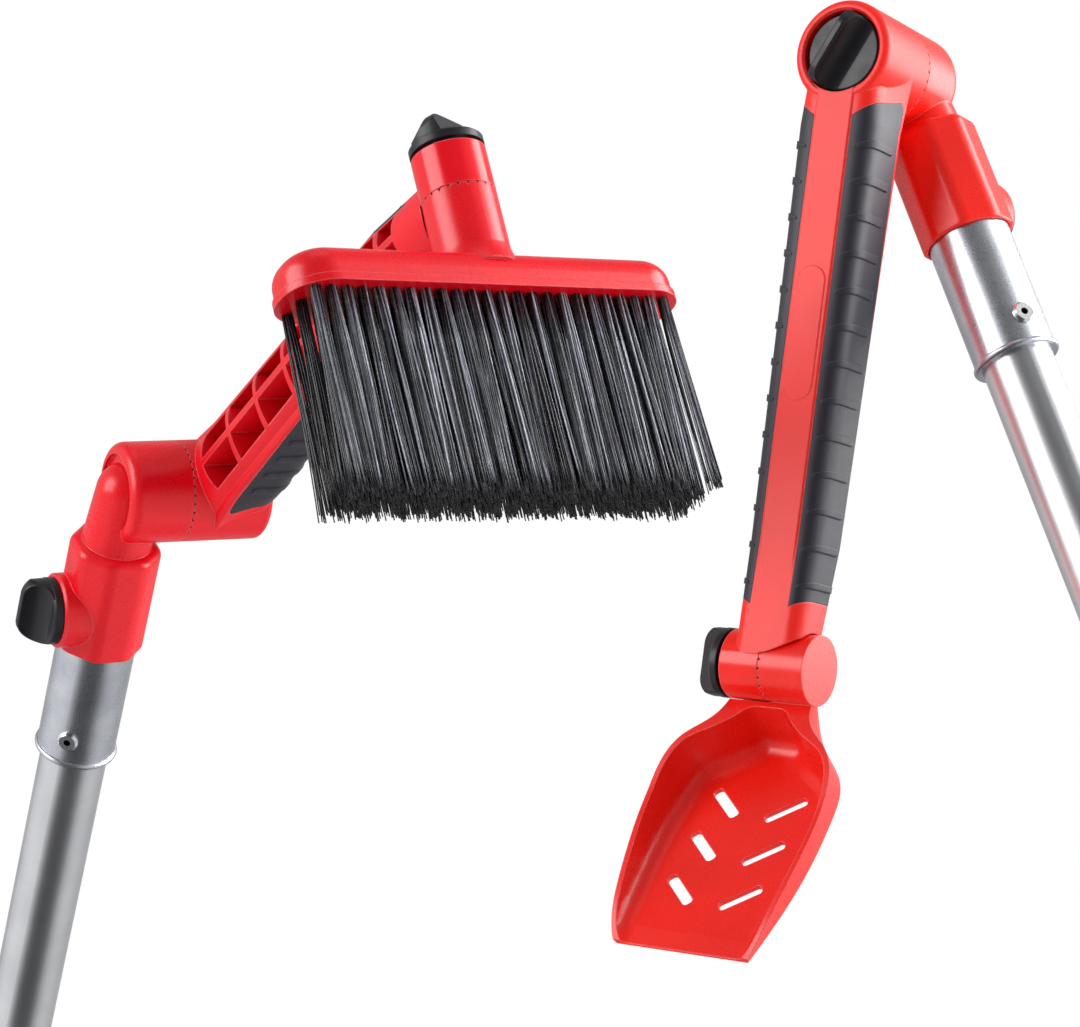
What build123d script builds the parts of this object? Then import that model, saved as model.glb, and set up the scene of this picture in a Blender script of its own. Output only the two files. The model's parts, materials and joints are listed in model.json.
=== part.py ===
"""Snow brush and scoop scraper: a set of two long-handled tools of one design.

Each tool is a pole with a riveted ferrule, a socket clamped on it, a serrated
shoulder joint, a ribbed arm with two rubber grips, a serrated wrist joint and a
head. One head is a brush, the other a slotted scoop. Lengths are millimetres
and angles are degrees. Sub-parts are modelled in three frames of their own:

pole frame      origin at the shoulder seam, +Z up the pole, +X towards the clamp knob
arm frame       the pole frame turned about +X by the arm angle, +Z along the arm
head frame      at the wrist axis, +Z the way the head points, -Y towards the wrist knob
"""

from build123d import *
import os
from dataclasses import dataclass
from math import sqrt

os.makedirs("parts", exist_ok=True)

# ---- clearances -------------------------------------------------------------
running_gap = 0.08          # radial gap of a pin that turns in its bore
seam_gap = 0.15             # from the seam plane to each toothed half
saddle_gap = 0.4            # from a turning drum to the arm that straddles it
stack_gap = 0.2             # between a washer and what it bears on
recess_gap = 0.7            # around a knob that sits in a recess
rebate_gap = 0.2            # under and past a ring of teeth

# ---- pole -------------------------------------------------------------------
tube_radius = 12.5
tube_wall = 1.5
tube_length = 720.0
tube_top = -42.0            # height of the tube's upper end, from the shoulder
ferrule_radius = 14.5
ferrule_top = -37.0
ferrule_bottom = -113.0
bead_radius = 1.2
rivet_rise = 11.7           # rivet centre above the ferrule's bottom
rivet_angle = 53.0          # from the clamp knob, about the pole
rivet_head_radius = 3.9
rivet_head_height = 1.3
rivet_hole_radius = 1.3
rivet_shank_radius = 2.0
grip_radius = 16.5
grip_length = 230.0
cap_length = 16.0
cap_radius = 16.0
cap_plug_length = 22.0
hanger_width = 22.0
hanger_thickness = 8.0
hanger_height = 20.0
hanger_hole_radius = 4.5

# ---- socket and elbow -------------------------------------------------------
pole_offset = 19.65         # pole axis from the shoulder seam
socket_across_flats = 31.6
socket_corner = 6.5
socket_top = -20.5
socket_bottom = -64.0
socket_shoulder_round = 3.5
socket_mouth_round = 1.2
ferrule_stop = -35.5        # end of the ferrule's bore
ferrule_fit = 0.1           # radial gap of the ferrule in its bore
mouth_chamfer = 0.7
elbow_drum_length = 24.0
elbow_drum_round = 4.0
elbow_recess_radius = 14.2
elbow_recess_depth = 1.6
neck_base_radius = 12.9
neck_top_radius = 11.2
neck_dome_height = 0.2
clamp_height = -50.0
boss_radius = 13.6
boss_reach = 19.3           # boss face from the pole axis
insert_radius = 5.6
insert_length = 4.0

# ---- knobs and bolts --------------------------------------------------------
clamp_bolt_radius = 4.0
clamp_pad_length = 3.0
clamp_knob_radius = 12.2
clamp_knob_base = 3.4
clamp_bar_reach = 8.5
clamp_bar_base = 13.5       # the bar's thickness where it leaves the disc
shoulder_bolt_radius = 4.0
shoulder_head_radius = 9.0
shoulder_head_length = 4.0
shoulder_head_seat = 8.0    # bolt head's near face from the seam
wrist_bolt_radius = 3.0
wrist_head_radius = 6.5
wrist_head_length = 3.5
wrist_head_seat = 6.0
washer_thickness = 1.2
shoulder_washer_radius = 9.0
wrist_washer_radius = 7.0
shoulder_knob_radius = 13.9
shoulder_knob_base = 5.0
shoulder_bar_reach = 8.2
wrist_knob_radius = 12.1
wrist_knob_base = 3.2
wrist_bar_reach = 7.4
bar_base = 12.0             # the bar's thickness where it leaves the disc
bar_crest = 3.0
bar_flat_lean = 2.4         # how far the bar's flat side leans over its height
bar_corner = 6.4            # the rounded outer corners of a bar seen from its side
bar_round = 0.9

# ---- shoulder and wrist drums ----------------------------------------------
shoulder_radius = 18.3
shoulder_teeth = 36
shoulder_tooth_height = 0.9
ring_reach = 30.2           # front face of the ring round the shoulder knob
ring_round = 2.4
ring_inner_round = 0.8
knob_floor = 22.2           # bottom of the knob's recess, from the seam
wrist_radius = 12.1
wrist_teeth = 24
wrist_tooth_height = 1.1
tooth_wall = 0.6
notch_share = 0.4           # notch width as a share of the tooth pitch
wrist_seam = 0.0            # wrist seam from the arm's middle, towards the knob
wrist_knob_face = 16.4      # end of the arm's drum half, from the arm's middle
wrist_drum_end = 16.3       # other end, of the scoop's drum half

# ---- arm --------------------------------------------------------------------
arm_length = 213.0          # shoulder axis to wrist axis
arm_setback = 19.8          # wrist axis from the shoulder seam
arm_front = 29.8
arm_root = 2.0              # where the arm's body leaves the side of the shoulder drum
root_pinch = 4.2            # how much narrower its front is there
waist_margin = 43.0         # from the arm's waist to the wrist axis
neck_half_width = 18.1
root_half_width = 15.6
waist_half_width = 13.7
tip_half_width = 12.6
arm_neck = 25.0             # the arm is widest here
root_crown = 0.7            # depth of the rounded back behind the seam plane
waist_crown = 3.4
tip_crown = 8.4
tip_inset = 2.0             # arm body's end, short of the wrist axis
tip_front = 32.0            # the tip's front laps over the wrist drum
tongue = [(-20.0, -15.5), (-13.5, -9.0), (-7.5, -3.4), (2.0, -4.4), (9.0, -7.8), (20.0, -15.5)]
back_edge_drop = 6.6        # from the crown to the edges of the rounded back
back_edge_share = 0.84      # of the half width
front_corner = 8.5
side_end = 9.0              # where the flat side turns into the back, behind the crown
stripe_half_width = 7.2
stripe_height = 0.6
stripe_start = 2.0
stripe_margin = 26.0        # from the stripe's end to the wrist axis
plate_half_width = 5.6
plate_length = 47.0
plate_centre = 99.0
plate_height = 0.35
grip_skin = 3.0
grip_start = 23.0
grip_margin = 20.0          # from the grips' end to the wrist axis
grip_slant_start = 8.0
grip_back_rise = 4.0        # how much nearer the drum the grips start at the back
grip_back_start = 12.5      # where the grips' back edges start, with rounded corners
grip_back_round = 6.0
grip_slant_end = 6.0
grip_back = 10.4            # the grips end this far behind the seam plane
ridge_pitch = 12.7
ridge_first = 33.0
ridge_width = 4.2
ridge_height = 0.6
ridge_back = 14.0
ridge_slant = 4.0
ridge_inner = 9.5
rib_pitch = 26.0
rib_first = 49.8
rib_thickness = 2.3
rib_bow = 12.5              # how far the middle of a cross rib leads its ends
lattice_start = 24.0
lattice_margin = 23.0       # from the lattice's end to the wrist axis
lattice_wall = 2.6
lattice_floor = 5.0         # wall left behind the front face

# ---- brush head -------------------------------------------------------------
block_length = 140.4
block_shift = -1.7          # the block's middle from the stem, along the block
block_width = 30.0
block_corner = 14.0
block_inset = 0.8
block_top = 22.75           # from the arm's middle
block_bottom = 36.9
flange_height = 2.6
block_round = 8.0
stem_flare_radius = 14.6
stem_flare_height = 5.0
bristle_length = 67.5
bristle_side_margin = 4.6
bristle_end_margin = 7.2
bristle_spread = 2.6
bristle_lean = -1.5         # the tips' drift along the block

# ---- scoop head -------------------------------------------------------------
scoop_floor = 26.0          # inner floor behind the wrist axis
scoop_floor_thickness = 1.8
scoop_front = 103.0
lip_length = 7.0
lip_drop = 0.6              # how far the floor dips from its bend to the front
lip_edge = 1.0
neck_back = 13.4            # the cavity's back wall, just past the wrist drum
neck_underside = 14.0       # the neck's underside where it meets the drum
heel_start = 11.0
heel_round = 7.0
foot_round = 6.0
floor_round = 6.0
slot_length = 15.7
slot_width = 3.8
slot_corner = 1.4
slot_tilt = 49.8
slot_offset = 11.8
slot_first = 40.5
slot_pitch = 19.2
slot_rows = 3
# Half widths of the scoop along its length: distance from the wrist axis, at
# the underside, and at the level of the wrist axis. The walls flare outwards.
scoop_plan = [(2.0, 8.0, 14.0), (12.0, 14.0, 17.0), (17.0, 18.8, 18.0), (22.0, 23.3, 21.4),
              (28.0, 26.8, 29.0), (35.0, 28.6, 34.2), (44.0, 29.5, 37.0), (56.0, 30.1, 37.9),
              (72.0, 29.7, 36.9), (88.0, 27.9, 36.7), (103.0, 25.4, 38.0)]
cavity_plan = [(13.4, 7.5, 7.5), (16.5, 9.8, 9.4), (20.0, 13.4, 13.0), (24.0, 18.4, 18.9),
               (29.0, 24.0, 27.8), (36.0, 26.8, 32.6), (45.0, 27.7, 35.3), (57.0, 28.3, 36.1),
               (72.0, 27.8, 35.0), (88.0, 26.1, 34.9), (103.0, 23.6, 36.2), (118.0, 20.4, 38.0)]
scoop_rim = [(103.0, 25.6), (100.0, 23.8), (96.0, 22.0), (84.0, 18.8), (72.0, 16.6),
             (58.0, 14.4), (48.0, 12.7), (40.0, 10.6), (32.0, 8.5), (24.0, 6.7), (16.0, 5.8),
             (8.0, 5.5)]


@dataclass(frozen=True)
class Tool:
    """Where one tool stands and how its joints are set at rest."""

    name: str
    shoulder: Vector        # seam centre of the shoulder
    knob_dir: Vector        # from the arm to the socket, along the shoulder axis
    pole_dir: Vector        # up the pole
    arm_angle: float        # turn of the arm about the shoulder axis, from straight
    head_angle: float       # turn of the head about the wrist axis, from straight
    wrist_knob_turn: float  # where the wrist knob's bar came to rest

    def pole_frame(self):
        return Plane(origin=self.shoulder, x_dir=self.knob_dir, z_dir=self.pole_dir).location

    def arm_frame(self):
        return self.pole_frame() * Location((0, 0, 0), (self.arm_angle, 0, 0))

    def wrist_frame(self, angle):
        """A frame at the wrist, turned about its axis from the arm's own."""
        return self.arm_frame() * Location((-arm_setback, 0, arm_length), (0, angle, 0))

    def head_frame(self):
        return self.wrist_frame(-self.head_angle)

    def knob_frame(self):
        return self.wrist_frame(self.wrist_knob_turn)


# The origin is on the brush tool's pole axis, at the middle of its rubber grip.
tube_bottom = tube_top - tube_length
grip_middle = tube_bottom + grip_length / 2
brush_knob_dir = Vector(-0.8834, -0.4671, -0.0380).normalized()
brush_pole_dir = Vector(0.2287, -0.5006, 0.8349).normalized()
brush_shoulder = brush_knob_dir * -pole_offset - brush_pole_dir * grip_middle
set_spacing = Vector(250.4, -30.0, 146.6)   # between the two shoulders

brush_tool = Tool("brush", brush_shoulder, brush_knob_dir, brush_pole_dir, -32.13, 94.8,
                  60.0)
scoop_tool = Tool("scoop", brush_shoulder + set_spacing, Vector(0.5518, 0.8200, -0.1519),
                  Vector(-0.2950, 0.3623, 0.8841), -150.16, 36.2, 0.0)

# Round pieces are drawn along one of three planes' normals. The last one's
# normal is -Y, which is the way from the arm's middle to the wrist knob.
along_x, along_z, along_knob = Plane.YZ, Plane.XY, Plane.XZ


def rod(plane, start, end, radius):
    """A cylinder along a plane's normal, from start to end."""
    return extrude(plane.offset(start) * Circle(radius), amount=end - start)


def ring(plane, start, end, radius, bore):
    """A tube along a plane's normal."""
    return extrude(plane.offset(start) * (Circle(radius) - Circle(bore)), amount=end - start)


def prism(plane, start, end, face):
    """A flat face in a plane's own axes, extruded along the plane's normal."""
    return extrude(plane.offset(start) * face, amount=end - start, dir=plane.z_dir)


def end_edges(solid, axis, last=True):
    """The edges of a solid's flat end face, the furthest along an axis."""
    return solid.faces().sort_by(axis)[-1 if last else 0].edges()


def rounded(face, corner, radius):
    """A face with one of its corners rounded."""
    vertex = face.vertices().sort_by_distance(Vector(*corner, 0))[0]
    return fillet(vertex, radius)


def across(face):
    """A face drawn in the XZ plane, extruded to both sides."""
    return extrude(Plane.XZ * face, amount=100, both=True)


def tooth_ring(radius, teeth, height):
    """A crown of pointed teeth that stands on the XY plane."""
    crown = ring(Plane.XY, 0, height, radius, radius - tooth_wall)
    half_notch = notch_share * 3.1416 * radius / teeth
    notch_face = Polygon((-half_notch, height * 1.1), (half_notch, height * 1.1),
                         (0, height * 0.1), align=None)
    notch = prism(along_x, radius - 2 * tooth_wall, radius + tooth_wall, notch_face)
    notches = [Rot(0, 0, 360 / teeth * index) * notch for index in range(teeth)]
    return crown.cut(*notches)


def rebate(radius, height):
    """The step that a crown of teeth lies in, on the XY plane."""
    depth = height + rebate_gap
    return ring(Plane.XY, -1, depth, radius + 1, radius - tooth_wall - rebate_gap)


# ---- pole pieces, in the pole frame -----------------------------------------
def at_pole_axis(shape):
    """Move a shape from the frame's Z axis to the pole's own axis."""
    return Pos(pole_offset, 0, 0) * shape


def pole_tube():
    return ring(along_z, tube_bottom, tube_top, tube_radius, tube_radius - tube_wall)


def rivet_stations():
    """The two rivets, on opposite sides of the ferrule."""
    height = ferrule_bottom + rivet_rise
    return [Pos(0, 0, height) * Rot(0, 0, rivet_angle + turn) for turn in (0, 180)]


def pole_ferrule():
    sleeve = ring(along_z, ferrule_bottom, ferrule_top, ferrule_radius, tube_radius)
    bead_height = ferrule_bottom + bead_radius
    bead = Pos(0, 0, bead_height) * Torus(ferrule_radius - bead_radius / 4, bead_radius)
    bore = rod(along_z, ferrule_bottom - bead_radius, ferrule_top, tube_radius)
    return sleeve + bead - bore


def drilled(shape):
    """The tube or the ferrule with its rivet holes."""
    shank = rod(along_x, tube_radius - 2 * tube_wall, ferrule_radius + 1, rivet_shank_radius)
    return shape.cut(*[station * shank for station in rivet_stations()])


def ferrule_rivet():
    """One blind rivet: a domed flange, a dark hole and a hollow shank."""
    flange = rod(along_x, ferrule_radius - 0.3, ferrule_radius + rivet_head_height,
                 rivet_head_radius)
    flange = chamfer(end_edges(flange, Axis.X), rivet_head_height * 0.6)
    flange -= rod(along_z, -5, 5, ferrule_radius)
    shank = rod(along_x, tube_radius - tube_wall, ferrule_radius, rivet_shank_radius)
    hole = rod(along_x, 0, ferrule_radius + 2 * rivet_head_height, rivet_hole_radius)
    return flange + shank - hole


def ferrule_rivets():
    return Compound(children=[station * ferrule_rivet() for station in rivet_stations()])


def pole_grip():
    sleeve = ring(along_z, tube_bottom, tube_bottom + grip_length, grip_radius, tube_radius)
    return chamfer(end_edges(sleeve, Axis.Z).filter_by(GeomType.CIRCLE).sort_by(
        SortBy.LENGTH)[-1:], 1.5)


def pole_end_cap():
    """A capped plug with a flat tongue and a hole to hang the tool by."""
    cap = rod(along_z, tube_bottom - cap_length, tube_bottom, cap_radius)
    cap = fillet(end_edges(cap, Axis.Z, last=False), 3)
    plug = rod(along_z, tube_bottom - 1, tube_bottom + cap_plug_length,
               tube_radius - tube_wall)
    tongue_bottom = tube_bottom - cap_length - hanger_height
    tongue = extrude(Plane.YZ * RectangleRounded(hanger_width, 2 * hanger_height,
                                                 hanger_width / 2.2),
                     amount=hanger_thickness / 2, both=True)
    tongue = Pos(0, 0, tongue_bottom + hanger_height) * tongue
    hole_height = tongue_bottom + hanger_width / 2
    hole = Pos(0, 0, hole_height) * rod(along_x, -hanger_width, hanger_width,
                                        hanger_hole_radius)
    return cap + plug + tongue - hole


# ---- socket and elbow, in the pole frame ------------------------------------
def shoulder_bolt():
    """A bolt moulded into the elbow, whose shank reaches the shoulder knob."""
    head = rod(along_x, shoulder_head_seat, shoulder_head_seat + shoulder_head_length,
               shoulder_head_radius)
    knob_end = knob_floor + washer_thickness + stack_gap + shoulder_knob_base - 1
    return head + rod(along_x, -knob_end, shoulder_head_seat, shoulder_bolt_radius)


def clamp_station(shape):
    """Move a shape from the X axis to the clamp knob's axis."""
    return Pos(pole_offset, 0, clamp_height) * shape


def insert_start():
    return boss_reach - insert_length


def clamp_insert():
    """The brass insert that the clamp screw runs in."""
    return clamp_station(ring(along_x, insert_start(), boss_reach, insert_radius,
                              clamp_bolt_radius + running_gap))


def socket_elbow():
    profile = Rot(0, 0, 22.5) * RegularPolygon(socket_across_flats / 2, 8, major_radius=False)
    profile = fillet(profile.vertices(), socket_corner)
    prism = extrude(Plane.XY.offset(socket_bottom) * profile,
                    amount=socket_top - socket_bottom)
    prism = fillet(end_edges(prism, Axis.Z), socket_shoulder_round)
    prism = fillet(end_edges(prism, Axis.Z, last=False), socket_mouth_round)
    neck_base = socket_top - 1.5
    neck = loft([Plane.XY.offset(neck_base) * Circle(neck_base_radius),
                 Plane.XY.offset(neck_dome_height) * Circle(neck_top_radius)])
    neck += Pos(0, 0, neck_dome_height) * Sphere(neck_top_radius)
    drum = rod(along_x, seam_gap, elbow_drum_length, shoulder_radius)
    drum = fillet(end_edges(drum, Axis.X), elbow_drum_round)
    drum -= rod(along_x, elbow_drum_length - elbow_recess_depth, elbow_drum_length + 1,
                elbow_recess_radius)
    boss = clamp_station(rod(along_x, 0, boss_reach, boss_radius))
    boss = chamfer(end_edges(boss, Axis.X), 0.8)
    body = at_pole_axis(prism) + at_pole_axis(neck) + drum + boss
    bore_radius = ferrule_radius + ferrule_fit
    bore = rod(along_z, socket_bottom - 1, ferrule_stop, bore_radius)
    mouth = loft([Plane.XY.offset(socket_bottom) * Circle(bore_radius + mouth_chamfer),
                  Plane.XY.offset(socket_bottom + mouth_chamfer) * Circle(bore_radius)])
    body -= at_pole_axis(bore + mouth)
    screw_hole = rod(along_x, 0, boss_reach + 1, clamp_bolt_radius + running_gap)
    insert_seat = rod(along_x, insert_start(), boss_reach + 1, insert_radius)
    body -= clamp_station(screw_hole + insert_seat)
    body -= Plane.YZ.location * rebate(shoulder_radius, shoulder_tooth_height)
    return body - shoulder_bolt()


# ---- knobs, each along the +Z axis of its own frame -------------------------
def bar_knob(radius, base, reach, bar_thickness, hole_radius=0.0, hole_depth=0.0):
    """A round knob with a diametral grip bar, flat on one side and dished on the other."""
    disc = rod(along_z, 0, base, radius)
    disc = chamfer(end_edges(disc, Axis.Z), 0.8)
    top = base + reach
    flat_foot = -bar_thickness / 2
    flat_top = flat_foot + bar_flat_lean
    dish_top, dish_foot = flat_top + bar_crest, bar_thickness / 2
    middle = ((dish_top + dish_foot) / 2 - 1.3, (top + base) / 2 - 1.0)
    section = make_face([Line((flat_foot, base - 1), (flat_top, top)),
                         Line((flat_top, top), (dish_top, top)),
                         ThreePointArc((dish_top, top), middle, (dish_foot, base)),
                         Line((dish_foot, base), (dish_foot, base - 1)),
                         Line((dish_foot, base - 1), (flat_foot, base - 1))])
    bar = extrude(Plane.XZ * section, amount=radius, both=True)
    side = RectangleRounded(2 * radius, 2 * (reach + 1), bar_corner)
    bar &= extrude(Plane.YZ * (Pos(0, base - 1) * side), amount=radius, both=True)
    bar &= rod(along_z, base - 1, top + 1, radius - 0.2)
    crest = [edge for edge in bar.edges() if edge.center().Z > base + reach * 0.6]
    bar = fillet(crest, bar_round)
    knob = disc + bar
    return knob - rod(along_z, -1, hole_depth, hole_radius) if hole_radius else knob


def clamp_pad():
    """The end of the clamp screw that presses on the ferrule."""
    start = ferrule_radius + 2 * ferrule_fit
    return clamp_station(rod(along_x, start, start + clamp_pad_length, clamp_bolt_radius))


def clamp_knob():
    knob = bar_knob(clamp_knob_radius, clamp_knob_base, clamp_bar_reach, clamp_bar_base)
    knob_start = boss_reach + stack_gap
    stud_start = ferrule_radius + 2 * ferrule_fit + clamp_pad_length
    knob = Pos(knob_start, 0, 0) * (Rot(0, 90, 0) * (Rot(0, 0, 90) * knob))
    return clamp_station(knob + rod(along_x, stud_start, knob_start + 1, clamp_bolt_radius))


def shoulder_washer():
    return ring(along_x, -knob_floor - washer_thickness, -knob_floor - stack_gap / 4,
                shoulder_washer_radius, shoulder_bolt_radius + running_gap)


def shoulder_knob():
    knob = bar_knob(shoulder_knob_radius, shoulder_knob_base, shoulder_bar_reach, bar_base,
                    shoulder_bolt_radius + running_gap, shoulder_knob_base - 0.5)
    start = -knob_floor - washer_thickness - stack_gap
    return Pos(start, 0, 0) * (Rot(0, -90, 0) * (Rot(0, 0, 62) * knob))


# ---- wrist pieces, in the arm frame moved to the wrist axis -----------------
def at_wrist(shape):
    return Pos(-arm_setback, 0, arm_length) * shape


def wrist_washer():
    start = wrist_knob_face + stack_gap / 4
    return ring(along_knob, start, start + washer_thickness, wrist_washer_radius,
                wrist_bolt_radius + running_gap)


def wrist_knob_start():
    return wrist_knob_face + washer_thickness + stack_gap


def wrist_knob():
    knob = bar_knob(wrist_knob_radius, wrist_knob_base, wrist_bar_reach, bar_base,
                    wrist_bolt_radius + running_gap, wrist_knob_base)
    return Plane.XZ.offset(wrist_knob_start()).location * knob


def wrist_bolt():
    """A bolt moulded into the head, whose shank reaches the wrist knob."""
    seat = wrist_seam - wrist_head_seat
    head = rod(along_knob, seat - wrist_head_length, seat, wrist_head_radius)
    shank_end = wrist_knob_start() + wrist_knob_base - 0.5
    return head + rod(along_knob, seat, shank_end, wrist_bolt_radius)


# ---- arm, in the arm frame --------------------------------------------------
def arm_section(height, half_width, crown, front_reach, swell=0.0, pinch=0.0):
    """One cross-section of the arm: flat front, round corners, convex back."""
    front = -front_reach - swell * 0.4
    width = half_width + swell
    corner_end = front + front_corner
    side_stop = -crown - side_end
    back_edge = (-crown - back_edge_drop + swell, width * back_edge_share)

    def half(side):
        corner_stop = (corner_end, side * (width - pinch))
        corner = Spline((front, side * stripe_half_width), corner_stop,
                        tangents=((0, side), (1, 0)))
        flank = Line(corner_stop, (side_stop, side * width))
        turn = Spline((side_stop, side * width), (back_edge[0], side * back_edge[1]),
                      tangents=((1, 0), (0.35, -side)))
        return corner, flank, turn

    front_line = Line((front, -stripe_half_width), (front, stripe_half_width))
    back = ThreePointArc((back_edge[0], -back_edge[1]), (-crown + swell, 0), back_edge)
    face = make_face([front_line, *half(1), back, *half(-1)])
    return Plane.XY.offset(height) * face


def arm_body(swell=0.0, skin=0.0):
    """The arm's whole outer form, swollen for ridges or thinned for a skin."""
    stations = [(arm_root, neck_half_width, root_crown, arm_front, root_pinch),
                (arm_neck, root_half_width, root_crown, arm_front, 0),
                (arm_length - waist_margin, waist_half_width, waist_crown, arm_front, 0),
                (arm_length - tip_inset, tip_half_width, tip_crown, tip_front, 0)]
    return loft([arm_section(height, half_width - skin, crown, front, swell, pinch)
                 for height, half_width, crown, front, pinch in stations], ruled=True)


def grip_end():
    return arm_length - grip_margin


def lattice_end():
    return arm_length - lattice_margin


def grip_zone(side):
    """The space that one rubber grip may fill, before the core is taken out."""
    outer, inner = neck_half_width + 2, stripe_half_width + 0.3

    def edge(rise):
        points = [(inner, grip_start - rise / 2), (outer, grip_start - grip_slant_start - rise),
                  (outer, grip_end() - grip_slant_end), (inner, grip_end())]
        return Polygon(*[(side * y, z) for y, z in points], align=None)

    zone = loft([Plane.YZ.offset(-arm_front - 5) * edge(0),
                 Plane.YZ.offset(-grip_back) * edge(grip_back_rise)], ruled=True)
    start, far = (-grip_back, grip_back_start), grip_end() + 1
    side_view = Polygon(start, (-grip_back, far), (-2 * arm_front, far),
                        (-2 * arm_front, grip_back_start), align=None)
    zone &= across(rounded(side_view, start, grip_back_round))
    return zone - rod(along_x, -2 * arm_front, 1, shoulder_radius)


def ridge_zone(side):
    """The wedge-shaped bands that stand proud of one grip."""
    outer = root_half_width + 4
    ridge_count = int((grip_end() - ridge_first) / ridge_pitch) + 1
    bands = []
    for index in range(ridge_count):
        height = ridge_first + index * ridge_pitch
        points = [(ridge_inner, height), (outer, height - ridge_slant),
                  (outer, height - ridge_slant + ridge_width), (ridge_inner, height + 0.8)]
        face = Polygon(*[(side * y, z) for y, z in points], align=None)
        bands.append(prism(along_x, -2 * arm_front, -ridge_back, face))
    return bands


def grip_core():
    """What fills the arm under its grips."""
    thinned = arm_body(skin=grip_skin)
    return thinned & Pos(grip_skin, 0, 0) * arm_body()


def arm_grip(side):
    outer, core = arm_body(), grip_core()
    skin = (outer & grip_zone(side)) - core
    swollen = arm_body(swell=ridge_height)
    for band in ridge_zone(side):
        skin += (swollen & band) - core
    return skin


def lattice_cells():
    """The open cells of the arm's back, between its rim, middle rib and cross ribs."""
    cells = []
    for side in (-1, 1):
        inner = rib_thickness / 2
        outline = Polygon((side * inner, lattice_start),
                          (side * (root_half_width * back_edge_share - lattice_wall),
                           lattice_start),
                          (side * (tip_half_width * back_edge_share - lattice_wall),
                           lattice_end()),
                          (side * inner, lattice_end()), align=None)
        cells.append(prism(along_x, lattice_floor - arm_front, 1, outline))
    return cells


def cross_ribs():
    """Bowed ribs that cross the lattice, with their middles towards the wrist."""
    ribs = []
    half_span = root_half_width
    bow_radius = (half_span ** 2 + rib_bow ** 2) / (2 * rib_bow)
    rib_count = int((lattice_end() - rib_first) / rib_pitch) + 1
    for index in range(rib_count):
        apex = rib_first + index * rib_pitch
        centre = apex - bow_radius
        arc = Circle(bow_radius + rib_thickness / 2) - Circle(bow_radius - rib_thickness / 2)
        arc &= Pos(0, bow_radius) * Rectangle(2 * half_span, 2 * rib_bow + rib_thickness)
        ribs.append(prism(along_x, -arm_front, 1, Pos(0, centre) * arc))
    return ribs


def arm_stripe():
    """The raised flat stripe down the front and the blank oblong plate on it."""
    length = arm_length - stripe_margin - stripe_start
    outline = RectangleRounded(2 * stripe_half_width, length, stripe_half_width * 0.95)
    stripe = extrude(Plane.YZ.offset(-arm_front - stripe_height) *
                     (Pos(0, stripe_start + length / 2) * outline), amount=stripe_height + 2)
    stripe = chamfer(end_edges(stripe, Axis.X, last=False), stripe_height * 0.9)
    plate_outline = SlotOverall(plate_length, 2 * plate_half_width, rotation=90)
    plate = extrude(Plane.YZ.offset(-arm_front - stripe_height - plate_height) *
                    (Pos(0, plate_centre) * plate_outline), amount=plate_height + 1)
    plate = chamfer(end_edges(plate, Axis.X, last=False), plate_height * 0.8)
    return stripe + plate


def beyond_tongue():
    """All that lies past the rounded tongue in which the arm ends at the wrist."""
    edge = [(y, arm_length + z) for y, z in tongue]
    (first_y, first_z), (last_y, last_z) = edge[0], edge[-1]
    far = arm_length + 2 * wrist_radius
    rim = Spline(*edge)
    rest = Polyline((last_y, last_z), (last_y, far), (first_y, far), (first_y, first_z))
    return prism(along_x, -2 * arm_front, 1, make_face([rim, rest]))


def shoulder_half():
    """The arm's half of the shoulder drum, with the ring round its knob."""
    drum = rod(along_x, -ring_reach, -seam_gap, shoulder_radius)
    drum = fillet(end_edges(drum, Axis.X, last=False), ring_round)
    recess_radius = shoulder_knob_radius + recess_gap
    drum -= rod(along_x, -ring_reach - 1, -knob_floor, recess_radius)
    inner_edge = drum.edges().filter_by(GeomType.CIRCLE).filter_by(
        lambda edge: abs(edge.radius - recess_radius) < 0.01).sort_by(Axis.X)[0]
    drum = chamfer(inner_edge, ring_inner_round)
    crown = Pos(-seam_gap, 0, 0) * (Plane.YZ.location *
                                    tooth_ring(shoulder_radius, shoulder_teeth,
                                               shoulder_tooth_height + seam_gap))
    return drum + crown


def arm_core():
    body = arm_body()
    cells = [cell.cut(*cross_ribs()) for cell in lattice_cells()]
    body = body.cut(*cells)
    core = grip_core()
    body = body.cut(*[(grip_zone(side) - core) for side in (-1, 1)])
    body -= beyond_tongue()
    body += arm_stripe()
    body -= rod(along_x, -ring_reach - 1, -knob_floor, shoulder_knob_radius + recess_gap)
    body += shoulder_half()
    turning = rod(along_knob, -2 * root_half_width,
                  wrist_seam + wrist_tooth_height + rebate_gap, wrist_radius + saddle_gap)
    body -= at_wrist(turning)
    knob_half = rod(along_knob, wrist_seam + seam_gap, wrist_knob_face, wrist_radius)
    knob_half -= (Plane.XZ.offset(wrist_seam).location *
                  rebate(wrist_radius, wrist_tooth_height))
    body += at_wrist(knob_half)
    body -= at_wrist(rod(along_knob, 0, wrist_knob_face + 1, wrist_bolt_radius + running_gap))
    return body - rod(along_x, -ring_reach, 1, shoulder_bolt_radius + running_gap)


# ---- heads, in the head frame -----------------------------------------------
def wrist_half(far_end):
    """A head's half of the wrist drum, toothed at the seam."""
    drum = rod(along_knob, far_end, wrist_seam - seam_gap, wrist_radius)
    crown = (Plane.XZ.offset(wrist_seam - seam_gap).location *
             tooth_ring(wrist_radius, wrist_teeth, wrist_tooth_height + seam_gap))
    return drum + crown


def block_outline(inset):
    return Pos(0, block_shift) * RectangleRounded(
        block_width - 2 * inset, block_length - 2 * inset, block_corner - inset)


def block_slab(start, end, inset):
    """A layer of the brush block between two distances from the arm's middle."""
    layer = Plane.XZ.offset(-end) * block_outline(inset)
    return extrude(layer, amount=end - start)


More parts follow.
